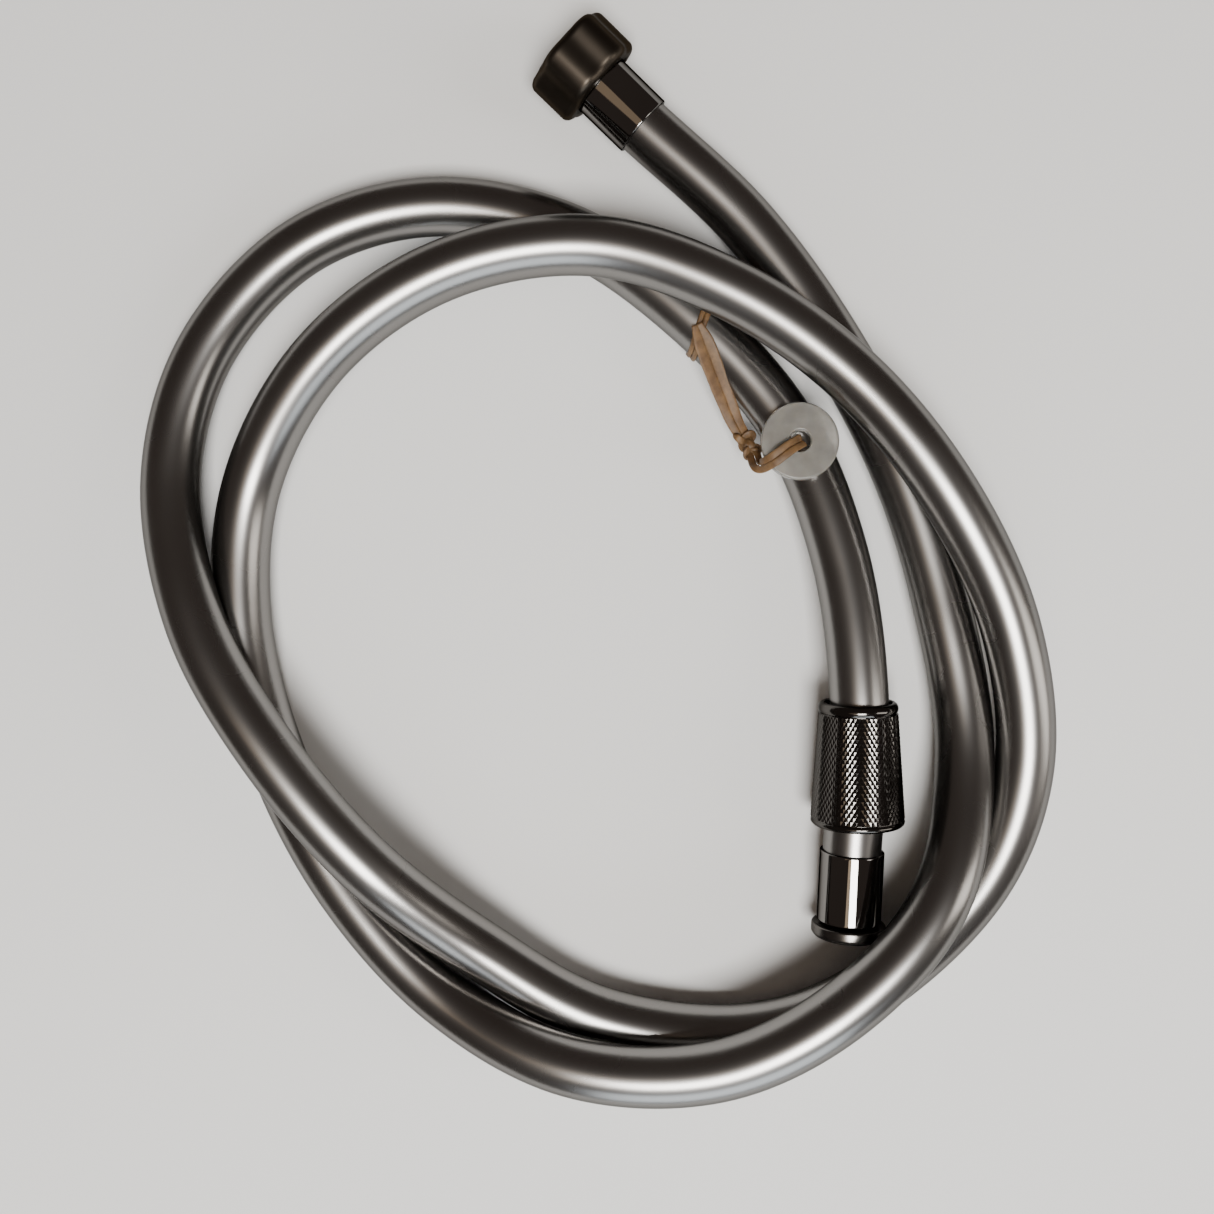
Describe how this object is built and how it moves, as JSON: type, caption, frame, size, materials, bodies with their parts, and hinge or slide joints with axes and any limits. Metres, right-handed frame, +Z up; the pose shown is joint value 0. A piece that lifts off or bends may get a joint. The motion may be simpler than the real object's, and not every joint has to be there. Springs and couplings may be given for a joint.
{
  "type": "shower hose",
  "caption": "Flexible smooth-jacketed shower hose lying in a loose coil, with a lobed nut, a knurled cone nut and a loose washer tied on with a rubber band.",
  "frame": {"origin": "on the surface the hose lies on, under the middle of its outline", "axes": "+Z up from that surface; +Y along the long side of the coil, towards the lobed nut; +X across it"},
  "size_m": [0.2272, 0.2674, 0.0304],
  "materials": {
    "hose_jacket": "satin silver PVC with a metallic pigment and a clear glossy skin",
    "hose_braid": "white polyester braid",
    "hose_liner": "milky white PVC water tube",
    "tap_insert": "chrome plated brass",
    "tap_ferrule": "polished chrome",
    "tap_washer": "black rubber",
    "tap_nut": "polished chrome",
    "handset_insert": "polished chrome",
    "handset_ferrule": "polished chrome",
    "cone_nut": "polished chrome with a diamond knurl",
    "loose_washer": "milky translucent silicone",
    "band_loop": "amber translucent rubber",
    "band_tail": "amber translucent rubber"
  },
  "bodies": {
    "root": {"hose_jacket": "hose_jacket", "hose_braid": "hose_braid", "hose_liner": "hose_liner", "tap_insert": "tap_insert", "tap_ferrule": "tap_ferrule", "tap_washer": "tap_washer", "handset_insert": "handset_insert", "handset_ferrule": "handset_ferrule", "band_loop": "band_loop"},
    "tap_nut": {"tap_nut": "tap_nut"},
    "cone_nut": {"cone_nut": "cone_nut"},
    "tied_washer": {"loose_washer": "loose_washer", "band_tail": "band_tail"}
  },
  "joints": [
    {"name": "tap_nut_spin", "type": "hinge", "parent": "root", "child": "tap_nut", "pos_m": [-0.00265, 0.12143, 0.01306], "axis": [-0.7325, 0.6712, 0.1132], "continuous": true},
    {"name": "cone_nut_slide", "type": "slide", "parent": "root", "child": "cone_nut", "axis": [-0.0348, -0.9956, -0.0872], "range_m": [-0.003, 0.007]},
    {"name": "washer_lift", "type": "hinge", "parent": "root", "child": "tied_washer", "pos_m": [0.0249, 0.0572, 0.0177], "axis": [-0.7539, -0.6569, 0], "range_deg": [0, 75]}
  ]
}
